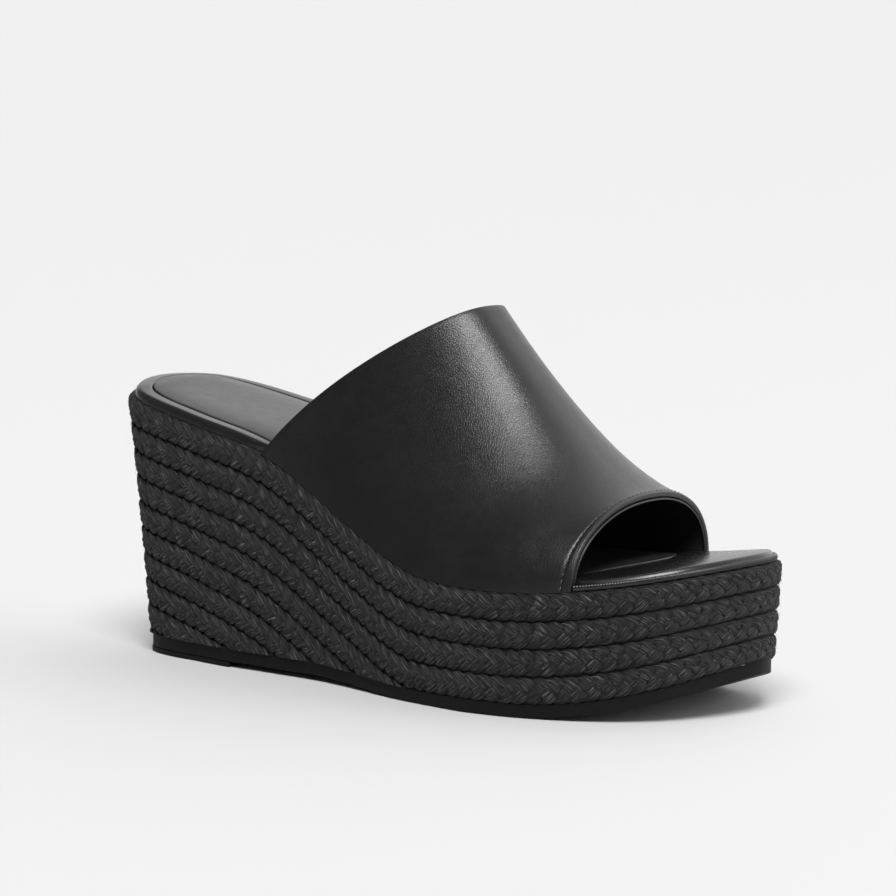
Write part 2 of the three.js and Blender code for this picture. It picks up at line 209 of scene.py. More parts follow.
def cubic_through(knots: tuple, x: np.ndarray) -> np.ndarray:
    """Read a cubic that passes through knots.

    Args:
        knots: Pairs of x and value, x rising.
        x: Where to read it.

    Returns:
        The values at x.
    """
    kx = np.array([k[0] for k in knots])
    ky = np.array([k[1] for k in knots])
    last = len(kx) - 1
    slopes = np.array(
        [
            (ky[min(i + 1, last)] - ky[max(i - 1, 0)]) / (kx[min(i + 1, last)] - kx[max(i - 1, 0)])
            for i in range(last + 1)
        ]
    )
    x = np.clip(x, kx[0], kx[-1])
    i = np.clip(np.searchsorted(kx, x, side="right") - 1, 0, last - 1)
    width = kx[i + 1] - kx[i]
    t = (x - kx[i]) / width
    rise = t * t * (3 - 2 * t)
    leave = t * (1 - t) ** 2 * slopes[i] * width
    arrive = t * t * (t - 1) * slopes[i + 1] * width
    return ky[i] * (1 - rise) + ky[i + 1] * rise + leave + arrive


# ---- The lines of the sole -----------------------------------------------


@dataclass
class SoleLines:
    """The rim and heights that the pieces share, fitted to the frame's first course."""

    stations: tuple = (
        (0.045, 0.285, 0.293),
        (0.18, 0.368, 0.378),
        (0.38, 0.402, 0.339),
        (0.56, 0.499, 0.399),
        (0.71, 0.523, 0.474),
        (0.85, 0.421, 0.470),
        (0.95, 0.236, 0.346),
    )
    toe_tip: float = 0.087
    length: float = 250 * MM
    width: float = 92 * MM
    heel_height: float = 88.6 * MM
    platform_height: float = 39.8 * MM
    toe_height: float = 48.4 * MM
    fall: tuple = ((0, 1), (0.16, 0.85), (0.3, 0.697), (0.44, 0.355), (0.58, 0.064), (0.72, 0), (1, 0))
    rise: tuple = ((0, 0), (0.72, 0), (0.86, 0.337), (1, 1))
    heel_lean: float = 0.129
    toe_lean: float = 0.065
    side_lean: float = 0.016
    rubber: float = 4.4 * MM
    lift: float = 1.9 * MM
    spring: float = 13 * MM
    spring_start: float = 185 * MM
    contact_start: float = 150 * MM
    waist_start: float = 95 * MM
    heel_pitch: float = 8.6 * MM
    waist_pitch: float = 9.5 * MM
    pitch_ramp: tuple = (30 * MM, 105 * MM)
    full_courses: int = 4
    shift: Vector = field(init=False)
    controls: np.ndarray = field(init=False)

    def __post_init__(self) -> None:
        """Lay the rim out and find how far the frame's origin is from the heel."""
        lateral = [(x * self.length, -out * self.width) for x, out, _ in self.stations]
        medial = [(x * self.length, out * self.width) for x, _, out in reversed(self.stations)]
        tip = (self.length, self.toe_tip * self.width)
        self.controls = np.array([(0.0, 0.0), *lateral, tip, *medial])
        points, _ = self.rim(np.linspace(0, 1, 721))
        low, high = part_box("braid_course_01")
        middle = (points.min(0) + points.max(0)) / 2
        self.shift = Vector(((low.x + high.x) / 2 - middle[0], (low.y + high.y) / 2 - middle[1], 0.0))

    def rim(self, t: np.ndarray) -> tuple[np.ndarray, np.ndarray]:
        """Read the rim.

        Args:
            t: Spots from 0 at the heel, over the lateral side and the toe, to 1.

        Returns:
            The points from the heel, and the outward directions there.
        """
        count = len(self.controls)
        where = np.mod(np.atleast_1d(np.asarray(t, float)), 1.0) * count
        i = np.floor(where).astype(int) % count
        u = (where - np.floor(where))[:, None]
        p0, p1, p2, p3 = (self.controls[(i + k) % count] for k in (-1, 0, 1, 2))
        a = -p0 + p2
        b = 2 * p0 - 5 * p1 + 4 * p2 - p3
        c = -p0 + 3 * p1 - 3 * p2 + p3
        point = 0.5 * (2 * p1 + a * u + b * u**2 + c * u**3)
        along = 0.5 * (a + 2 * b * u + 3 * c * u**2)
        along /= np.linalg.norm(along, axis=1)[:, None]
        return point, np.stack([along[:, 1], -along[:, 0]], 1)

    def top(self, x: np.ndarray) -> np.ndarray:
        """Return the height of the top line at x."""
        share = np.asarray(x) / self.length
        fall = (self.heel_height - self.platform_height) * cubic_through(self.fall, share)
        rise = (self.toe_height - self.platform_height) * cubic_through(self.rise, share)
        return self.platform_height + fall + rise

    def underside(self, x: np.ndarray) -> np.ndarray:
        """Return the height of the outsole's underside at x."""
        lift = self.lift * (1 - ramp(x, self.waist_start, self.contact_start))
        spring = np.maximum(x - self.spring_start, 0) / (self.length - self.spring_start)
        return lift + self.spring * spring**2

    def wall(self, x: np.ndarray) -> np.ndarray:
        """Return the depth of the rubber's top face below the top line at x."""
        return self.top(x) - self.underside(x) - self.rubber

    def along(self, t: np.ndarray) -> np.ndarray:
        """Return the rim's x at each spot, from the heel."""
        return self.rim(t)[0][:, 0]

    def wall_at(self, t: np.ndarray) -> np.ndarray:
        """Return the depth of the rubber's top face at each spot."""
        return self.wall(self.along(t))

    def pitch(self, x: np.ndarray) -> np.ndarray:
        """Return the height of one course of braid at x."""
        heel = mix(self.heel_pitch, self.waist_pitch, ramp(x, *self.pitch_ramp))
        return np.minimum(heel, self.wall(x) / self.full_courses)

    def place(self, t: np.ndarray, depth: np.ndarray, inset: np.ndarray) -> np.ndarray:
        """Find places on the sole.

        Args:
            t: Spots along the rim.
            depth: Depths below the top line.
            inset: Distances inwards from the rim.

        Returns:
            The places in the frame, one row each.
        """
        rim, out = self.rim(t)
        end = np.where(out[:, 0] > 0, self.toe_lean, self.heel_lean)
        lean = end * np.abs(out[:, 0]) + self.side_lean * np.abs(out[:, 1])
        inwards = inset + lean * np.maximum(depth, 0)
        xy = rim - out * np.broadcast_to(inwards, len(rim))[:, None]
        height = self.top(rim[:, 0]) - depth
        return np.column_stack([xy[:, 0] + self.shift.x, xy[:, 1] + self.shift.y, height])

    def side_spots(self, side: str) -> np.ndarray:
        """Return fine spots along one side, from the heel to the toe."""
        return np.linspace(0 if side == "lateral" else 1, 0.5, 2001)

    def spot(self, side: str, x: np.ndarray, inset: float = 0.0) -> np.ndarray:
        """Return the t on one side at which a line at the given inset reaches x."""
        t = self.side_spots(side)
        reach = self.place(t, 0.0, inset)[:, 0] - self.shift.x
        return np.interp(x, reach, t)


# ---- Finishes ------------------------------------------------------------


@dataclass
class Nodes:
    """A short way to wire a material's nodes."""

    material: bpy.types.Material

    def add(self, kind: str, **inputs: object) -> bpy.types.Node:
        """Add a node.

        Args:
            kind: Blender's name for the node.
            **inputs: Values or links for its inputs; spaces in names are underscores.

        Returns:
            The node.
        """
        node = self.material.node_tree.nodes.new(kind)
        for name, value in inputs.items():
            self.put(node, name.replace("_", " "), value)
        return node

    def put(self, node: bpy.types.Node, name: str, value: object) -> None:
        """Give one input of a node a value, or a link when the value is a socket."""
        socket = node.inputs[name]
        if isinstance(value, bpy.types.NodeSocket):
            self.material.node_tree.links.new(value, socket)
        else:
            socket.default_value = value

    def ramp(self, factor: bpy.types.NodeSocket, stops: tuple) -> bpy.types.NodeSocket:
        """Turn a factor into a colour.

        Args:
            factor: The socket that is read.
            stops: Pairs of position and grey value or colour.

        Returns:
            The colour socket.
        """
        node = self.add("ShaderNodeValToRGB", Fac=factor)
        elements = node.color_ramp.elements
        for index, (position, value) in enumerate(stops):
            element = elements[index] if index < 2 else elements.new(position)
            element.position = position
            element.color = (*value, 1.0) if isinstance(value, tuple) else (value, value, value, 1.0)
        return node.outputs["Color"]

    def spread(self, factor: bpy.types.NodeSocket, low: float, high: float) -> bpy.types.NodeSocket:
        """Return a factor from 0 to 1 spread over a range of values."""
        node = self.add("ShaderNodeMapRange", Value=factor)
        node.inputs["To Min"].default_value = low
        node.inputs["To Max"].default_value = high
        return node.outputs["Result"]

    def noise(self, coords: bpy.types.NodeSocket, scale: float, detail: float = 3.0) -> bpy.types.NodeSocket:
        """Return a noise factor read at the given coordinates."""
        return self.add("ShaderNodeTexNoise", Vector=coords, Scale=scale, Detail=detail).outputs["Fac"]

    def bump(
        self, height: bpy.types.NodeSocket, distance: float, strength: float = 1.0, under: object = None
    ) -> bpy.types.NodeSocket:
        """Return a normal bumped by a height, over another bumped normal if one is given."""
        node = self.add("ShaderNodeBump", Height=height, Distance=distance, Strength=strength)
        if under is not None:
            self.put(node, "Normal", under)
        return node.outputs["Normal"]


class Coords(Enum):
    """What a material's pattern follows."""

    OBJECT = "Object"
    MAP = "UV"


@dataclass(frozen=True)
class Finish:
    """The common start of every finish."""

    name: str
    roughness: float
    coords: Coords = Coords.OBJECT

    def start(self) -> tuple[bpy.types.Material, Nodes, bpy.types.Node, bpy.types.NodeSocket]:
        """Make an empty material.

        Returns:
            The material, its nodes, its shader and the coordinates it reads.
        """
        material = bpy.data.materials.new(self.name)
        material.use_nodes = True
        nodes = Nodes(material)
        shader = material.node_tree.nodes["Principled BSDF"]
        shader.inputs["Roughness"].default_value = self.roughness
        coords = nodes.add("ShaderNodeTexCoord").outputs[self.coords.value]
        return material, nodes, shader, coords

    def stretched(self, nodes: Nodes, coords: bpy.types.NodeSocket, scale: tuple) -> bpy.types.NodeSocket:
        """Return the coordinates stretched by a scale for each direction."""
        mapping = nodes.add("ShaderNodeMapping", Vector=coords)
        mapping.inputs["Scale"].default_value = scale
        return mapping.outputs["Vector"]


@dataclass(frozen=True)
class Leather(Finish):
    """Smooth leather with a fine grain, faint creases and a satin face."""

    dark: float = 0.007
    light: float = 0.013
    grain_scale: float = 1500.0
    grain_depth: float = 0.035 * MM
    crease_depth: float = 0.2 * MM
    specular: float = 0.5

    def make(self) -> bpy.types.Material:
        """Return the material."""
        material, nodes, shader, coords = self.start()
        clouds = nodes.noise(coords, 45.0, 4.0)
        colour = nodes.ramp(clouds, ((0.3, self.dark), (0.7, self.light)))
        nodes.put(shader, "Base Color", colour)
        fine = nodes.noise(coords, 260.0, 5.0)
        rough = nodes.spread(fine, self.roughness - 0.07, self.roughness + 0.07)
        nodes.put(shader, "Roughness", rough)
        shader.inputs["Specular IOR Level"].default_value = self.specular
        cells = nodes.add("ShaderNodeTexVoronoi", Vector=coords, Scale=self.grain_scale)
        cells.feature = "DISTANCE_TO_EDGE"
        pores = nodes.ramp(cells.outputs["Distance"], ((0.0, 0.0), (0.22, 1.0)))
        wrinkles = nodes.noise(self.stretched(nodes, coords, (110.0, 240.0, 170.0)), 1.0, 6.0)
        creased = nodes.bump(wrinkles, self.crease_depth, 0.5)
        grained = nodes.bump(pores, self.grain_depth, 0.6, creased)
        nodes.put(shader, "Normal", grained)
        return material


@dataclass(frozen=True)
class Jute(Finish):
    """Dyed jute: dry fibres that run along each strand."""

    dark: float = 0.002
    light: float = 0.017
    stray: float = 0.15

    def make(self) -> bpy.types.Material:
        """Return the material."""
        material, nodes, shader, coords = self.start()
        fibres = nodes.noise(self.stretched(nodes, coords, (0.2, 2.8, 1.0)), 1.0, 3.0)
        threads = nodes.noise(self.stretched(nodes, coords, (0.06, 0.5, 1.0)), 1.0, 3.0)
        colour = nodes.ramp(fibres, ((0.42, self.dark), (0.56, self.light), (0.68, self.stray)))
        clouds = nodes.ramp(threads, ((0.3, 0.4), (0.7, 1.0)))
        shade = nodes.add("ShaderNodeMix")
        shade.data_type = "RGBA"
        shade.blend_type = "MULTIPLY"
        shade.inputs["Factor"].default_value = 1.0
        material.node_tree.links.new(colour, shade.inputs[6])
        material.node_tree.links.new(clouds, shade.inputs[7])
        nodes.put(shader, "Base Color", shade.outputs[2])
        shader.inputs["Specular IOR Level"].default_value = 0.4
        coarse = nodes.bump(threads, 0.5 * MM, 0.7)
        nodes.put(shader, "Normal", nodes.bump(fibres, 0.9 * MM, 1.0, coarse))
        return material


@dataclass(frozen=True)
class Rubber(Finish):
    """Moulded rubber with a fine, even texture."""

    shade: float = 0.0055

    def make(self) -> bpy.types.Material:
        """Return the material."""
        material, nodes, shader, coords = self.start()
        clouds = nodes.noise(coords, 60.0, 5.0)
        colour = nodes.ramp(clouds, ((0.3, self.shade * 0.8), (0.75, self.shade * 1.3)))
        nodes.put(shader, "Base Color", colour)
        nodes.put(shader, "Roughness", nodes.spread(clouds, self.roughness - 0.06, self.roughness + 0.08))
        shader.inputs["Specular IOR Level"].default_value = 0.13
        nodes.put(shader, "Normal", nodes.bump(nodes.noise(coords, 2600.0, 2.0), 0.03 * MM, 0.5))
        return material


@dataclass(frozen=True)
class Backing(Finish):
    """A plain inner material: cork, board, foam or cotton, mottled at its own scale."""

    dark: tuple = (0.2, 0.13, 0.07)
    light: tuple = (0.45, 0.31, 0.18)
    scale: float = 400.0
    depth: float = 0.2 * MM

    def make(self) -> bpy.types.Material:
        """Return the material."""
        material, nodes, shader, coords = self.start()
        mottle = nodes.noise(coords, self.scale, 5.0)
        nodes.put(shader, "Base Color", nodes.ramp(mottle, ((0.35, self.dark), (0.65, self.light))))
        nodes.put(shader, "Normal", nodes.bump(mottle, self.depth, 0.7))
        return material


NAPPA = Leather("nappa", 0.33, dark=0.002, light=0.005, grain_scale=1300.0, grain_depth=0.045 * MM)
INSOLE = Leather(
    "insole_nappa", 0.26, dark=0.004, light=0.008, grain_depth=0.008 * MM, crease_depth=0.015 * MM
)
SOCK = Leather("sock_leather", 0.33, dark=0.009, light=0.015, grain_depth=0.03 * MM, crease_depth=0.06 * MM)
LINING = Leather("lining_leather", 0.62, dark=0.012, light=0.02, grain_depth=0.05 * MM, specular=0.3)
BRAID = Jute("dyed_jute", 0.72, Coords.MAP)
RUBBER = Rubber("moulded_rubber", 0.6)
CORK = Backing("pressed_cork", 0.9)
# The fibreboard is near-black. This is partly the board's own grey and partly painted shade, so that it reads
# dark where it shows through gaps.
SHADE_DARKENED_BOARD = Backing("fibreboard_dark_as_shade", 0.85, dark=(0.03, 0.03, 0.03), light=(0.06, 0.06, 0.06), scale=900.0)
FOAM = Backing("latex_foam", 0.9, dark=(0.05, 0.05, 0.05), light=(0.1, 0.1, 0.1), scale=1800.0)
COTTON = Backing("cotton_backing", 0.9, dark=(0.5, 0.47, 0.4), light=(0.75, 0.71, 0.62), scale=2500.0)
THREAD = Backing("bonded_thread", 0.4, dark=(0.02, 0.02, 0.02), light=(0.05, 0.05, 0.05), scale=3000.0)


# ---- Sole ----------------------------------------------------------------


@dataclass
class Braid:
    """Ten courses of three-strand plait, wound round the core."""

    lines: SoleLines
    material: bpy.types.Material
    courses: int = 10
    strands: int = 3
    turn: float = 14.7 * MM
    steps: int = 14
    sides: int = 26
    shown_sides: float = 0.7
    strand_width: float = 5.9 * MM
    strand_height: float = 1.7 * MM
    weave_depth: float = 0.72 * MM
    swing: float = 3.1 * MM
    straightness: float = 0.96
    crossing: float = 0.7
    side_wander: float = 0.12 * MM
    depth_wander: float = 0.06 * MM
    width_wander: float = 0.05
    wander: float = 0.3
    yarns: int = 3
    yarn_relief: float = 0.4 * MM
    edge_fall: float = 0.3 * MM
    flatness: float = 0.55
    fill: float = 1.075
    face_inset: float = 1.75 * MM
    backing: tuple = (2.5 * MM, 4.8 * MM)
    backing_gap: float = 0.05 * MM
    backing_columns: int = 240
    run_past: float = 4 * MM
    fibre_count: int = 650
    fibre_steps: int = 5
    fibre_sides: int = 3
    fibre_radius: float = 0.055 * MM

    def path(self, index: int) -> tuple[np.ndarray, np.ndarray, bool]:
        """Find the run of one course.

        Args:
            index: The course, from 0 at the top.

        Returns:
            Spots along the rim, the distance run at each, and whether it closes.
        """
        closed = index < self.lines.full_courses
        if closed:
            t = np.linspace(0, 1, 2401)
        else:
            ends = [self.run_out(side, index) for side in ("medial", "lateral")]
            t = np.linspace(ends[0], ends[1] + 1, 2401)
        x = self.lines.along(t)
        middle = self.lines.place(t, (index + 0.5) * self.lines.pitch(x), self.face_inset)
        run = np.concatenate([[0], np.cumsum(np.linalg.norm(np.diff(middle, axis=0), axis=1))])
        return t, run, closed

    def run_out(self, side: str, index: int) -> float:
        """Return the t on one side just past where a course's top edge meets the rubber."""
        t = self.lines.side_spots(side)
        x = self.lines.along(t)
        left = self.lines.wall(x) - index * self.lines.pitch(x)
        gone = int(np.argmax(left < 0.05 * MM))
        beyond = np.searchsorted(x[gone:], x[gone] + self.run_past)
        return float(t[gone + beyond])

    def strand(
        self, index: int, number: int, t: np.ndarray, run: np.ndarray, closed: bool
    ) -> bpy.types.Object:
        """Shape one strand of one course.

        Args:
            index: The course.
            number: The strand.
            t: Spots along the course.
            run: Distance run at each spot.
            closed: Whether the course closes on itself.

        Returns:
            The strand, a closed tube.
        """
        turns = max(round(run[-1] / self.turn), 1)
        piece, along, around = sheet_grid(f"strand_{number}", turns * self.steps, self.sides)
        phase = 2 * np.pi * (along * turns + number / self.strands)
        drift = np.random.default_rng(SEED + 31 * index + number).normal(0, 1, (3, 9))
        harmonics = np.arange(3, 12)
        waves = np.sin(2 * np.pi * harmonics * along[:, None] + 5 * drift[0])
        side_drift, depth_drift, width_drift = (self.wander * waves @ drift.T).T
        full = math.asin(self.straightness)
        across = self.swing * np.arcsin(self.straightness * np.sin(phase)) / full
        across += self.side_wander * side_drift
        lift = np.sin(2 * phase)
        weave = np.sign(lift) * np.abs(lift) ** self.crossing
        out = self.depth_wander * depth_drift - self.weave_depth * weave
        steepness = self.straightness / full / np.sqrt(1 - (self.straightness * np.sin(phase)) ** 2)
        slope = self.swing * 2 * np.pi * turns / run[-1] * np.cos(phase) * steepness
        length = np.hypot(1.0, slope)
        shown = around < self.shown_sides
        hidden_share = (around - self.shown_sides) / (1 - self.shown_sides)
        angle = np.pi * np.where(shown, around / self.shown_sides, 1 + hidden_share)
        sideways = self.strand_width * (1 + self.width_wander * width_drift) / 2 * np.cos(angle)
        crest = np.abs(np.cos(0.5 * np.pi * self.yarns * (np.cos(angle) + 1)))
        round_off = np.sign(np.sin(angle)) * np.abs(np.sin(angle)) ** self.flatness
        grooved = self.yarn_relief * (1 - crest**0.7) * (np.sin(angle) > 0.1)
        raised = self.strand_height / 2 * round_off - grooved
        s = along * run[-1] - sideways * slope / length
        across = across + sideways / length
        half = self.lines.waist_pitch / 2
        reach = across / (self.fill * half)
        across = self.fill * half * reach / (1 + np.abs(reach) ** 6) ** (1 / 6)
        spot = np.interp(np.mod(s, run[-1]) if closed else s, run, t)
        beyond = np.where(closed, 0.0, s - np.clip(s, 0, run[-1])) / run[-1] * (t[-1] - t[0])
        pitch = self.lines.pitch(self.lines.along(spot))
        depth = (index + 0.5) * pitch - across * pitch / self.lines.waist_pitch
        inset = self.face_inset - out - raised + self.edge_fall * np.abs(across / half) ** 7
        set_points(piece, self.lines.place(spot + beyond, depth, inset))
        scale_map(piece, run[-1] * 1.25, 2.2 * self.strand_width)
        close(piece, caps=not closed)
        return piece

    def backing_strip(self, index: int, t: np.ndarray, closed: bool) -> bpy.types.Object:
        """Shape the flat inner side of one course, which lies against the core."""
        piece, along, around = sheet_grid("backing", self.backing_columns, 4)
        spot = mix(t[0], t[-1], along)
        corner = np.rint(around * 4).astype(int) % 4
        pitch = self.lines.pitch(self.lines.along(spot))
        top = index * pitch + self.backing_gap
        low = top + pitch - 2 * self.backing_gap
        depth = np.where((corner == 1) | (corner == 2), low, top)
        inset = np.where(corner < 2, self.backing[0], self.backing[1])
        set_points(piece, self.lines.place(spot, depth, inset))
        scale_map(piece, 600 * MM, 20 * MM)
        close(piece, caps=not closed)
        return piece

    def cut_at_rubber(self, piece: bpy.types.Object, index: int) -> None:
        """Trim a course that runs out on the rubber along the rubber's top face."""
        x = self.lines.along(self.lines.side_spots("lateral"))
        wall = self.lines.wall(x)
        pitch = self.lines.pitch(x)
        first = x[np.argmax(wall < (index + 1) * pitch)]
        last = x[np.argmax(wall < index * pitch + 0.1 * MM)]
        heights = [float(self.lines.top(v) - self.lines.wall(v)) for v in (first, last)]
        span = max(last - first, 1 * MM)
        normal = Vector((heights[0] - heights[1], 0.0, span)).normalized()
        with editing(piece):
            bpy.ops.mesh.bisect(
                plane_co=(last + self.lines.shift.x, 0.0, heights[1] + 0.05 * MM),
                plane_no=normal,
                use_fill=True,
                clear_inner=True,
                threshold=0.0001 * MM,
            )

    def course(self, index: int) -> bpy.types.Object:
        """Build one course: its strands joined, and trimmed where it meets the rubber."""
        t, run, closed = self.path(index)
        parts = [self.strand(index, number, t, run, closed) for number in range(self.strands)]
        parts.append(self.backing_strip(index, t, closed))
        piece = join(parts)
        piece.name = piece.data.name = f"braid_{index + 1:02d}"
        if not closed:
            self.cut_at_rubber(piece, index)
        smooth(piece, 60.0)
        dress(piece, self.material, "jute_braid", f"braid_course_{index + 1:02d}")
        return piece

    def fibres(self) -> bpy.types.Object:
        """Scatter fine stray fibres that stand off the plait."""
        chance = np.random.default_rng(SEED)
        count = self.fibre_count
        start = chance.uniform(0, 1, count)
        depth = chance.uniform(0.02, 0.98, count) * self.lines.wall_at(start)
        length = chance.uniform(2.5, 6.5, count) * MM
        tilt = np.sign(chance.uniform(-1, 1, count)) * chance.uniform(0.4, 1.1, count)
        lift = chance.uniform(0.15, 1.0, count) * MM
        curl = chance.uniform(-0.6, 0.6, count)
        around_sole = 600 * MM

        def shape(number: np.ndarray, share: np.ndarray, turn: np.ndarray) -> np.ndarray:
            heading = tilt[number] + curl[number] * share
            reach = length[number] * (share - 0.5)
            thin = self.fibre_radius * np.sqrt(np.maximum(1 - (2 * share - 1) ** 2, 0.08))
            spot = start[number] + (reach * np.cos(heading)) / around_sole
            down = depth[number] + reach * np.sin(heading) + thin * np.cos(turn)
            inset = 0.45 * MM - lift[number] * share**2 - thin * np.sin(turn)
            return self.lines.place(spot, down, inset)

        piece = separate_tubes("stray_fibres", count, self.fibre_steps, self.fibre_sides, shape)
        dress(piece, self.material, "jute_braid")
        return piece

    def build(self) -> None:
        """Build every course and the stray fibres."""
        for index in range(self.courses):
            self.course(index)
        self.fibres()


def separate_tubes(name: str, count: int, steps: int, sides: int, shape: Callable) -> bpy.types.Object:
    """Build many short closed tubes as one piece.

    Args:
        name: The piece's name.
        count: How many tubes.
        steps: Steps along each tube.
        sides: Sides of each tube.
        shape: Gives the points for tube numbers, shares of the way along and turns around.

    Returns:
        The piece.
    """
    columns = count * (steps + 1) - 1
    piece, along, around = sheet_grid(name, columns, sides)
    column = np.rint(along * columns).astype(int)
    number = column // (steps + 1)
    share = (column % (steps + 1)) / steps
    set_points(piece, shape(number, share, 2 * np.pi * around))
    only(piece)
    bpy.ops.object.mode_set(mode="EDIT")
    bpy.ops.mesh.select_mode(type="FACE")
    bpy.ops.mesh.select_all(action="DESELECT")
    bpy.ops.object.mode_set(mode="OBJECT")
    for polygon in piece.data.polygons:
        polygon.select = len({int(number[i]) for i in polygon.vertices}) > 1
    bpy.ops.object.mode_set(mode="EDIT")
    bpy.ops.mesh.delete(type="ONLY_FACE")
    bpy.ops.mesh.select_mode(type="EDGE")
    bpy.ops.mesh.select_all(action="SELECT")
    bpy.ops.mesh.delete_loose(use_verts=True, use_edges=True, use_faces=False)
    bpy.ops.mesh.select_mode(type="VERT")
    bpy.ops.object.mode_set(mode="OBJECT")
    close(piece)
    smooth(piece, 60.0)
    return piece


def dress(piece: bpy.types.Object, material: bpy.types.Material, slot: str, *nodes: str) -> None:
    """Finish a piece and tie it to the frame.

    Args:
        piece: The piece.
        material: Its finish.
        slot: The record's material slot; not used.
        *nodes: The frame's nodes that it stands for.
    """
    piece.data.materials.clear()
    piece.data.materials.append(material)
    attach(piece, BODY)
    if nodes:
        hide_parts(*nodes)
    log.info("%s: %d faces", piece.name, len(piece.data.polygons))


def swept_ring(name: str, profile: list[np.ndarray]) -> bpy.types.Object:
    """Build a closed band from loops of places.

    Args:
        name: The piece's name.
        profile: Loops of equal count, in order round the band's section.

    Returns:
        The band.
    """
    count = len(profile[0])
    piece, along, across = sheet_grid(name, count, len(profile))
    loops = np.array(profile)
    column = np.rint(along * count).astype(int) % count
    row = np.rint(across * len(profile)).astype(int) % len(profile)
    set_points(piece, loops[row, column])
    close(piece, caps=False)
    return piece


def denser_ends(share: np.ndarray) -> np.ndarray:
    """Return even shares drawn towards 0 and 1."""
    return mix(share, (1 - np.cos(np.pi * share)) / 2, 0.5)


def across_grid(name: str, outline: np.ndarray, columns: int, rows: int) -> tuple:
    """Stretch a grid over a closed outline, from its lateral to its medial half.

    Args:
        name: The piece's name.
        outline: Places round the rim, an even number of them, the first at the heel.
        columns: Faces from the heel to the toe.
        rows: Faces from side to side.

    Returns:
        The piece, its points and their distances to the outline.
    """
    half = len(outline) // 2
    steps = np.arange(half + 1)
    piece, along, across = sheet_grid(name, columns, rows)
    spot = denser_ends(along) * half
    other = np.vstack([outline[:1], outline[: half - 1 : -1]])
    lateral = np.stack([np.interp(spot, steps, outline[: half + 1, k]) for k in range(3)], 1)
    medial = np.stack([np.interp(spot, steps, other[:, k]) for k in range(3)], 1)
    points = mix(lateral, medial, denser_ends(across)[:, None])
    ring = np.vstack([outline, outline[:1]])
    fine = np.arange(0, len(outline), 0.125)
    near = np.full(len(points), 1.0)
    for place in np.stack([np.interp(fine, np.arange(len(ring)), ring[:, k]) for k in range(2)], 1):
        near = np.minimum(near, np.hypot(points[:, 0] - place[0], points[:, 1] - place[1]))
    return piece, points, near


def face_up(piece: bpy.types.Object) -> None:
    """Merge a sheet's doubled ends and turn its faces upwards."""
    with editing(piece):
        bpy.ops.mesh.remove_doubles(threshold=SHEET_SEAM)
        bpy.ops.mesh.normals_make_consistent(inside=False)
    if sum(polygon.normal.z * polygon.area for polygon in piece.data.polygons) < 0:
        with editing(piece):
            bpy.ops.mesh.flip_normals()


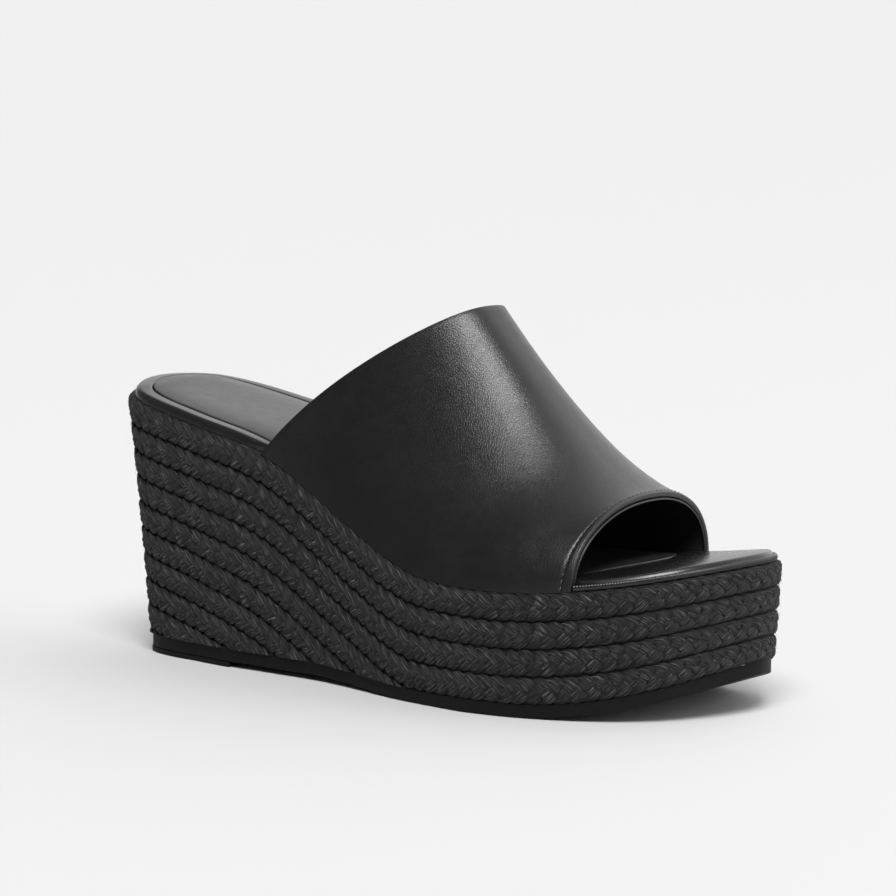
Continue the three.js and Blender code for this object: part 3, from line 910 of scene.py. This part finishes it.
@dataclass
class Rubbers:
    """The outsole and the heel lift."""

    lines: SoleLines
    material: bpy.types.Material
    inset: float = 1.3 * MM
    edge: float = 0.25 * MM
    gap: float = 0.15 * MM
    count: int = 256
    lift_length: float = 60 * MM
    lift_edge: float = 0.15 * MM
    lift_grooves_from: float = 18 * MM
    lift_grooves_clear: float = 5 * MM
    outsole_grooves_clear: float = 8 * MM
    outsole_grooves_to: float = 228 * MM
    groove_pitch: float = 4.6 * MM
    groove_width: float = 1.3 * MM
    groove_depth: float = 0.7 * MM
    border: float = 6 * MM

    def outsole(self) -> bpy.types.Object:
        """Build the outsole, its edges eased."""
        t = np.arange(self.count) / self.count
        outline = self.lines.place(t, self.lines.wall_at(t) + self.lines.rubber, self.inset)
        piece, points, near = across_grid("outsole_rubber", outline, 140, 40)
        points[:, 2] += self.edge * np.maximum(1 - near / self.edge, 0.0) ** 2
        set_points(piece, points)
        face_up(piece)
        raise_up(piece, self.lines.rubber - self.gap)
        self.cut_grooves(piece, self.lift_length + self.outsole_grooves_clear, self.outsole_grooves_to)
        smooth(piece, 35.0)
        dress(piece, self.material, "rubber", "outsole")
        return piece

    def cut_grooves(self, piece: bpy.types.Object, start: float, end: float) -> None:
        """Cut the tread's grooves across the underside.

        Args:
            piece: The rubber that is cut.
            start: The x of the first groove, from the heel.
            end: The x past the last groove.
        """
        on_lift = end < self.lift_length
        side = np.linspace(0, 0.5, 501)
        wall = self.lines.wall_at(side)
        edges = [self.lines.place(t, wall, self.inset + self.border) for t in (side, 1 - side)]
        cutters = []
        for x in np.arange(start, end, self.groove_pitch):
            y = [np.interp(x + self.lines.shift.x, edge[:, 0], edge[:, 1]) for edge in edges]
            slope = math.atan(float(self.lines.underside(x + MM) - self.lines.underside(x)) / MM)
            height = 0.0 if on_lift else float(self.lines.underside(x))
            bpy.ops.mesh.primitive_cube_add(
                size=1.0,
                location=(x + self.lines.shift.x, (y[0] + y[1]) / 2, height),
                rotation=(0.0, 0.0 if on_lift else -slope, 0.0),
                scale=(self.groove_width, y[1] - y[0], 2 * self.groove_depth),
            )
            cutters.append(bpy.context.object)
        cutter = join(cutters)
        bpy.ops.object.transform_apply(location=True, rotation=True, scale=True)
        apply(piece, "BOOLEAN", operation="DIFFERENCE", object=cutter, solver="EXACT")
        bpy.data.objects.remove(cutter, do_unlink=True)

    def heel_lift(self) -> bpy.types.Object:
        """Build the lift from its outline, extruded and with its edges bevelled."""
        low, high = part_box("heel_lift")
        from_t = self.lines.spot("medial", self.lift_length, self.inset)
        to_t = self.lines.spot("lateral", self.lift_length, self.inset) + 1
        t = np.linspace(from_t, to_t, 97)
        outline = self.lines.place(t, self.lines.wall_at(t), self.inset)
        bpy.ops.object.select_all(action="DESELECT")
        bpy.ops.mesh.primitive_circle_add(vertices=len(t), radius=1.0, fill_type="NGON")
        piece = bpy.context.object
        piece.name = piece.data.name = "heel_lift_rubber"
        flat = points_of(piece)
        angle = np.mod(np.arctan2(flat[:, 1], flat[:, 0]), 2 * np.pi)
        order = np.argsort(np.argsort(angle))
        set_points(piece, np.column_stack([outline[order, :2], np.full(len(t), low.z)]))
        raise_up(piece, high.z - low.z + self.gap)
        sharp = math.radians(50)
        apply(piece, "BEVEL", width=self.lift_edge, segments=2, limit_method="ANGLE", angle_limit=sharp)
        self.cut_grooves(piece, self.lift_grooves_from, self.lift_length - self.lift_grooves_clear)
        smooth(piece, 35.0)
        dress(piece, self.material, "rubber", "heel_lift")
        return piece

    def build(self) -> None:
        """Build both pieces."""
        self.outsole()
        self.heel_lift()


# ---- Insole --------------------------------------------------------------


@dataclass
class Insole:
    """The wrapped edge, the sock, the foam under it and the pleated edge at the toe."""

    lines: SoleLines
    nappa: bpy.types.Material
    sock: bpy.types.Material
    foam: bpy.types.Material
    count: int = 360
    height: float = 3.2 * MM
    foot_inset: float = 3.0 * MM
    top_inset: float = 4.5 * MM
    inner_inset: float = 9 * MM
    toe_extra: float = 33.3 * MM
    toe_start: float = 170 * MM
    crown_height: float = 1.1 * MM
    crown_slope: float = 13 * MM
    bead_ends: tuple = (207.4 * MM, 205 * MM)
    bead_inset: float = 2.55 * MM
    bead_height: float = 1.05 * MM
    bead_rise: float = 1.15 * MM
    bead_thickness: float = 0.55 * MM
    pleats: int = 150
    pleat_relief: float = 0.2 * MM
    upper_clear: float = 5.4 * MM
    upper_back: float = 75.7 * MM
    upper_front: float = 205.7 * MM

    def spots(self) -> np.ndarray:
        """Return the spots that the bands are built on."""
        return np.arange(self.count) / self.count

    def clear(self, inset: float) -> np.ndarray:
        """Return an inset that stays inside the upper where the upper stands."""
        x = self.lines.along(self.spots())
        back = ramp(x, self.upper_back - 8 * MM, self.upper_back + 2 * MM)
        front = 1 - ramp(x, self.upper_front - 1 * MM, self.upper_front + 9 * MM)
        return np.maximum(inset, mix(inset, self.upper_clear, back * front))

    def band(self, depth: float, gap: float) -> np.ndarray:
        """Return the loop of the band's inner edge, which widens at the toe."""
        points = self.lines.place(self.spots(), depth, self.inner_inset + gap)
        x = points[:, 0] - self.lines.shift.x
        behind = x - self.toe_extra * ramp(x, self.toe_start, self.lines.length)
        points[:, 2] += self.lines.top(behind) - self.lines.top(x)
        points[:, 0] = behind + self.lines.shift.x
        return points

    def wrap(self) -> bpy.types.Object:
        """Build the leather-wrapped edge, its shoulder rounded and its inner edge dipped under the sock."""
        t = self.spots()
        place = self.lines.place
        shoulder = [
            place(t, -0.1 * MM, self.clear(self.foot_inset)),
            place(t, -0.45 * self.height, self.clear(self.foot_inset + 0.1 * MM)),
            place(t, -0.72 * self.height, self.clear(self.foot_inset + 0.35 * MM)),
            place(t, -0.9 * self.height, self.clear(self.foot_inset + 0.9 * MM)),
            place(t, -0.985 * self.height, self.clear(self.top_inset - 0.3 * MM)),
            place(t, -1.0 * self.height, self.clear(self.top_inset + 0.5 * MM)),
        ]
        inner = [
            self.band(-0.99 * self.height, -1.2 * MM),
            self.band(-0.93 * self.height, -0.4 * MM),
            self.band(-0.75 * self.height, 0.0),
            self.band(-0.1 * MM, 0.0),
        ]
        piece = swept_ring("insole_edge", shoulder + inner)
        smooth(piece, 50.0)
        dress(piece, self.nappa, "nappa", "insole_wrap")
        return piece

    def plate(self, name: str, top: float, thickness: float, gap: float, edge: float) -> bpy.types.Object:
        """Build a crowned plate that fills the band.

        Args:
            name: The piece's name.
            top: Depth of its upper face at the edge.
            thickness: Its thickness.
            gap: Space left between it and the band.
            edge: Radius of its upper edge.

        Returns:
            The plate.
        """
        outline = self.band(top, gap)
        piece, points, near = across_grid(name, outline, 150, 60)
        points[:, 2] += self.crown_height * (1 - (1 - np.minimum(near / self.crown_slope, 1)) ** 2.5)
        points[:, 2] -= edge * np.maximum(1 - near / edge, 0.0) ** 2
        set_points(piece, points)
        scale_map(piece, 230 * MM, 70 * MM)
        face_up(piece)
        apply(piece, "SOLIDIFY", thickness=thickness, offset=-1.0)
        close(piece, caps=False)
        smooth(piece, 45.0)
        return piece

    def sock_lining(self) -> bpy.types.Object:
        """Build the sock, a thin crowned sheet with a rounded edge."""
        top = -self.height + 0.1 * MM
        piece = self.plate("sock", top, thickness=0.8 * MM, gap=0.3 * MM, edge=0.35 * MM)
        dress(piece, self.sock, "sock_leather", "sock_lining")
        return piece

    def foam_pad(self) -> bpy.types.Object:
        """Build the foam under the sock."""
        top = -self.height + 1.1 * MM
        piece = self.plate("footbed_pad", top, thickness=1.8 * MM, gap=0.5 * MM, edge=0.3 * MM)
        dress(piece, self.foam, "foam", "footbed_foam")
        return piece

    def bead(self) -> bpy.types.Object:
        """Build the gathered edge round the toe, one small pleat after another."""
        start = self.lines.spot("lateral", self.bead_ends[0])
        end = self.lines.spot("medial", self.bead_ends[1])
        piece, along, around = sheet_grid("toe_pleats", self.pleats * 6, 12)
        t = mix(start, end, along)
        pleat = 0.5 + 0.5 * np.cos(2 * np.pi * self.pleats * along)
        thick = self.bead_thickness + self.pleat_relief * pleat
        angle = 2 * np.pi * around
        inset = self.bead_inset + thick * np.cos(angle)
        depth = self.bead_rise * np.sin(angle) - self.bead_height
        set_points(piece, self.lines.place(t, depth, inset))
        scale_map(piece, 110 * MM, 5 * MM)
        close(piece)
        smooth(piece, 60.0)
        dress(piece, self.nappa, "nappa", "toe_bead")
        return piece

    def build(self) -> None:
        """Build every piece of the insole."""
        self.foam_pad()
        self.wrap()
        self.sock_lining()
        self.bead()


# ---- Upper ---------------------------------------------------------------


@dataclass
class Upper:
    """The broad band over the foot: leather, interlining, lining, rolled lip and stitches."""

    lines: SoleLines
    nappa: bpy.types.Material
    lining: bpy.types.Material
    cotton: bpy.types.Material
    thread: bpy.types.Material
    inset: float = 2 * MM
    throat_feet: tuple = (75.7 * MM, 78.8 * MM)
    toe_feet: tuple = (205.7 * MM, 203.1 * MM)
    throat_crown: tuple = (141.6 * MM, 6.2 * MM, 123.9 * MM)
    crown_bend: tuple = (189 * MM, 5.8 * MM, 70 * MM)
    toe_crown: tuple = (206 * MM, 3.6 * MM, 68 * MM)
    spread: tuple = (0.73, 0.88)
    rounding: tuple = (1.28, 0.93)
    sweep: tuple = (-6.8 * MM, -0.5 * MM)
    leather: float = 1.2 * MM
    folded: float = 2.0 * MM
    edge_forward: float = 0.5 * MM
    cotton_depths: tuple = (1.35 * MM, 1.75 * MM)
    lining_depths: tuple = (2.32 * MM, 2.95 * MM)
    lip_depth: float = 2.55 * MM
    lip_radii: tuple = (0.45 * MM, 0.7 * MM)
    lip_forward: float = 0.1 * MM
    fold_width: float = 9 * MM
    stitch_margin: float = 2.1 * MM
    stitch_sink: float = 0.2 * MM
    stitch_pitch: float = 2.3 * MM
    thread_radius: float = 0.32 * MM
    columns: int = 168
    rows: int = 72

    def foot(self, side: str, v: np.ndarray) -> np.ndarray:
        """Return the upper's bottom edge on one side, from the throat (0) to the toe opening (1)."""
        number = 0 if side == "lateral" else 1
        x = mix(self.throat_feet[number], self.toe_feet[number], v)
        return self.lines.place(self.lines.spot(side, x, self.inset), -0.1 * MM, self.inset)

    def face(self, v: np.ndarray, w: np.ndarray) -> np.ndarray:
        """Read the outer face.

        Args:
            v: From the throat (0) to the toe opening (1).
            w: From the lateral foot (-1) to the medial foot (1).

        Returns:
            The points, one row each.
        """
        shift = np.array(self.lines.shift)
        lateral = self.foot("lateral", v)
        medial = self.foot("medial", v)
        middle = (lateral + medial) / 2
        half = (medial - lateral) / 2
        start, bend, end = (np.array(p) + shift for p in (self.throat_crown, self.crown_bend, self.toe_crown))
        share = v[:, None]
        crown = (1 - share) ** 2 * start + 2 * share * (1 - share) * bend + share**2 * end
        quarter = np.pi * w / 2
        across = np.sign(w) * np.abs(np.sin(quarter)) ** mix(*self.spread, v)
        up = np.maximum(np.cos(quarter), 0.0) ** mix(*self.rounding, v)
        point = middle + half * across[:, None] + (crown - middle) * up[:, None]
        point[:, 0] += 4 * mix(*self.sweep, v) * up * (1 - up)
        return point

    def directions(self, v: np.ndarray, w: np.ndarray) -> tuple[np.ndarray, np.ndarray]:
        """Return the outward and the forward directions of the outer face."""
        step = 0.01
        ahead = self.face(np.minimum(v + step, 1), w) - self.face(np.maximum(v - step, 0), w)
        across = self.face(v, np.minimum(w + step, 1)) - self.face(v, np.maximum(w - step, -1))
        out = np.cross(ahead, across)
        out[np.abs(w) > 0.999, 2] = 0.0
        ahead /= np.linalg.norm(ahead, axis=1)[:, None]
        out /= np.linalg.norm(out, axis=1)[:, None]
        return out, ahead

    def under(self, v: np.ndarray, w: np.ndarray, depth: np.ndarray, forward: np.ndarray = 0.0) -> np.ndarray:
        """Return points at a depth under the outer face and a distance forward along it."""
        out, ahead = self.directions(v, w)
        depth = np.broadcast_to(depth, len(v))[:, None]
        forward = np.broadcast_to(forward, len(v))[:, None]
        return self.face(v, w) - out * depth + ahead * forward

    def length(self) -> float:
        """Return the band's length along its crown."""
        v = np.linspace(0, 1, 100)
        line = self.face(v, np.zeros(100))
        return float(np.linalg.norm(np.diff(line, axis=0), axis=1).sum())

    def layer(self, name: str, section: list[tuple]) -> bpy.types.Object:
        """Sweep a closed section across the band.

        Args:
            name: The piece's name.
            section: Triples of v, depth and forward distance, in order round the section.

        Returns:
            The layer, closed at its feet.
        """
        count = len(section)
        piece, along, around = sheet_grid(name, self.columns, count)
        table = np.array(section)
        row = np.rint(around * count).astype(int) % count
        w = 2 * along - 1
        set_points(piece, self.under(table[row, 0], w, table[row, 1], table[row, 2]))
        close(piece)
        smooth(piece, 50.0)
        return piece

    def leather_section(self) -> list[tuple]:
        """Return the section of the outer leather, turned in and thicker along both edges."""
        length = self.length()
        fold = self.fold_width / length
        near_toe = 1 - np.linspace(5 * MM, 0, 26) / length
        face_rows = np.concatenate([np.linspace(0, near_toe[0], self.rows, endpoint=False), near_toe])
        from_edge = (1 - face_rows) * length
        sunk = self.stitch_sink * np.exp(-(((from_edge - self.stitch_margin) / (0.45 * MM)) ** 2))
        raised = 0.04 * MM * np.exp(-(((from_edge - 0.9 * MM) / (0.6 * MM)) ** 2))
        shown = [(v, float(d), 0.0) for v, d in zip(face_rows, sunk - raised)]
        depths = (0.04, 0.12, 0.25, 0.5, 0.75, 0.88, 0.96)
        turned = [(d, self.edge_forward * (1 - abs(2 * d - 1) ** 4)) for d in depths]
        toe = [(1.0, d * self.folded, f) for d, f in turned]
        inner = []
        for v in np.linspace(1, 0, self.rows // 2 + 1):
            near = max(1 - (1 - v) / fold, 1 - v / fold, 0.0)
            depth = mix(self.leather, self.folded, float(ramp(near, 0.0, 0.15)))
            inner.append((v, depth, 0.0))
        throat = [(0.0, d * self.folded, -f) for d, f in reversed(turned)]
        return shown + toe + inner + throat

    def plain_section(self, rows: np.ndarray, outside: float, inside: float) -> list[tuple]:
        """Return the section of an even layer between two depths."""
        return [(v, outside, 0.0) for v in rows] + [(v, inside, 0.0) for v in rows[::-1]]

    def build(self) -> None:
        """Build every layer of the upper."""
        outer = self.layer("upper_nappa", self.leather_section())
        dress(outer, self.nappa, "nappa", "upper_leather")
        margin = (self.fold_width + 3 * MM) / self.length()
        back = np.linspace(margin, 1 - margin, 30)
        cotton = self.plain_section(back, *self.cotton_depths)
        dress(self.layer("upper_cotton", cotton), self.cotton, "interlining", "upper_interlining")
        start = self.fold_width / self.length()
        inside = np.linspace(start, 1.0, 36)
        lining = self.plain_section(inside, *self.lining_depths)
        dress(self.layer("upper_inside", lining), self.lining, "lining", "upper_lining")
        self.lip()
        self.stitches()

    def lip(self) -> None:
        """Build the lining's rolled lip along the toe opening."""
        deep, forward = self.lip_radii
        section = []
        for a in np.linspace(0, 2 * math.pi, 12, endpoint=False):
            ahead = self.lip_forward + forward * math.sin(a)
            section.append((1.0, self.lip_depth + deep * math.cos(a), ahead))
        piece = self.layer("toe_lip", section)
        dress(piece, self.nappa, "nappa", "toe_edge_binding")

    def stitches(self) -> None:
        """Lay a row of separate stitches back from the toe opening."""
        v_line = 1 - self.stitch_margin / self.length()
        w = np.linspace(-1, 1, 600)
        line = self.under(np.full(600, v_line), w, 0.0)
        run = np.concatenate([[0], np.cumsum(np.linalg.norm(np.diff(line, axis=0), axis=1))])
        count = int(run[-1] / self.stitch_pitch)

        def shape(number: np.ndarray, share: np.ndarray, turn: np.ndarray) -> np.ndarray:
            middle = np.interp((number + 0.1 + 0.8 * share) * self.stitch_pitch, run, w)
            arch = np.sin(np.pi * share)
            radius = self.thread_radius * np.sqrt(np.maximum(arch, 0.02))
            lift = radius * np.sin(turn) + 0.3 * MM * arch - self.stitch_sink - 0.06 * MM
            return self.under(np.full(len(middle), v_line), middle, -lift, radius * np.cos(turn))

        piece = separate_tubes("toe_stitches", count, 6, 6, shape)
        dress(piece, self.thread, "thread", "toe_edge_stitching")


# ---- Studio --------------------------------------------------------------


@dataclass
class Studio:
    """A pale floor, soft light and the camera."""

    target: tuple = (3.05 * MM, 1.9 * MM, 76.4 * MM)
    azimuth: float = 37.12
    elevation: float = 7.9
    distance: float = 1.5
    lens: float = 182.8
    floor_shade: float = 0.54
    bright_side: tuple = (0.33, 0.75, 0.57)
    room_shades: tuple = ((0.0, 0.18), (0.6, 0.22), (0.74, 0.36), (0.87, 0.74), (0.98, 1.7))
    glow_side: tuple = (-0.597, 0.789, 0.14)
    glow_shades: tuple = ((0.86, 0.0), (0.98, 0.6))
    sun_side: tuple = (0.34, -0.43, 0.835)
    sun_power: float = 3.7
    sun_spread: float = 31.0
    fill_place: tuple = (1.9, 0.5, 0.7)
    fill_power: float = 9.0

    def floor(self) -> None:
        """Lay a pale floor."""
        bpy.ops.object.select_all(action="DESELECT")
        bpy.ops.mesh.primitive_plane_add(size=60.0, location=(0, 0, 0))
        plane = bpy.context.object
        plane.name = "floor"
        material = bpy.data.materials.new("floor_paper")
        material.use_nodes = True
        shader = material.node_tree.nodes["Principled BSDF"]
        shader.inputs["Base Color"].default_value = (self.floor_shade,) * 3 + (1.0,)
        shader.inputs["Roughness"].default_value = 0.9
        shader.inputs["Specular IOR Level"].default_value = 0.1
        plane.data.materials.append(material)

    def world(self) -> None:
        """Light the room from one high side and from low behind, and leave the rest dim."""
        world = bpy.data.worlds.new("studio")
        world.use_nodes = True
        nodes = Nodes(world)
        direction = nodes.add("ShaderNodeTexCoord").outputs["Generated"]
        both = nodes.add("ShaderNodeMath")
        both.operation = "ADD"
        lobes = ((self.bright_side, self.room_shades), (self.glow_side, self.glow_shades))
        for number, (side, shades) in enumerate(lobes):
            facing = nodes.add("ShaderNodeVectorMath")
            facing.operation = "DOT_PRODUCT"
            nodes.put(facing, "Vector", direction)
            facing.inputs[1].default_value = side
            share = nodes.spread(facing.outputs["Value"], 0.0, 1.0)
            share.node.inputs["From Min"].default_value = -1.0
            world.node_tree.links.new(nodes.ramp(share, shades), both.inputs[number])
        nodes.put(world.node_tree.nodes["Background"], "Color", both.outputs["Value"])
        bpy.context.scene.world = world

    def stand(self, name: str, data: bpy.types.ID, place: Vector, back: Vector) -> bpy.types.Object:
        """Stand a lamp or a camera in the studio.

        Args:
            name: Its name.
            data: Its light or camera.
            place: Where it stands.
            back: The direction that its back faces.

        Returns:
            The object.
        """
        thing = bpy.data.objects.new(name, data)
        thing.location = place
        thing.rotation_euler = back.to_track_quat("Z", "Y").to_euler()
        bpy.context.scene.collection.objects.link(thing)
        return thing

    def sun(self) -> None:
        """Hang one broad soft light, high on the lateral side of the toe."""
        light = bpy.data.lights.new("softbox", "SUN")
        light.energy = self.sun_power
        light.angle = math.radians(self.sun_spread)
        self.stand("softbox", light, Vector(), Vector(self.sun_side))

    def fill(self) -> None:
        """Stand a dim soft panel beyond the toe."""
        light = bpy.data.lights.new("fill", "AREA")
        light.size = 1.0
        light.energy = self.fill_power
        place = Vector(self.fill_place)
        self.stand("fill", light, place, place - Vector(self.target))

    def camera(self) -> None:
        """Stand the camera at the lateral front quarter."""
        azimuth, elevation = math.radians(self.azimuth), math.radians(self.elevation)
        level = math.cos(elevation)
        back = Vector((math.sin(azimuth) * level, -math.cos(azimuth) * level, math.sin(elevation)))
        data = bpy.data.cameras.new("camera")
        data.lens = self.lens
        data.sensor_width = 36.0
        place = Vector(self.target) + back * self.distance
        bpy.context.scene.camera = self.stand("camera", data, place, back)

    def build(self) -> None:
        """Set the studio up."""
        self.floor()
        self.world()
        self.sun()
        self.fill()
        self.camera()
        bpy.context.scene.view_settings.view_transform = "Standard"


def main() -> None:
    """Build the studio, then every piece of the shoe."""
    logging.basicConfig(level=logging.INFO, format="%(name)s %(message)s")
    Studio().build()
    lines = SoleLines()
    nappa, sock, lining = NAPPA.make(), SOCK.make(), LINING.make()
    Rubbers(lines, RUBBER.make()).build()
    Braid(lines, BRAID.make()).build()
    Insole(lines, INSOLE.make(), sock, FOAM.make()).build()
    Upper(lines, nappa, lining, COTTON.make(), THREAD.make()).build()
    # The insole board's near-black finish is partly painted shade, for where it shows through gaps.
    for node, finish in (("wedge_core", CORK), ("insole_board", SHADE_DARKENED_BOARD)):
        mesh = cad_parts[node].data
        mesh.materials.clear()
        mesh.materials.append(finish.make())


if __name__ == "__main__":
    main()
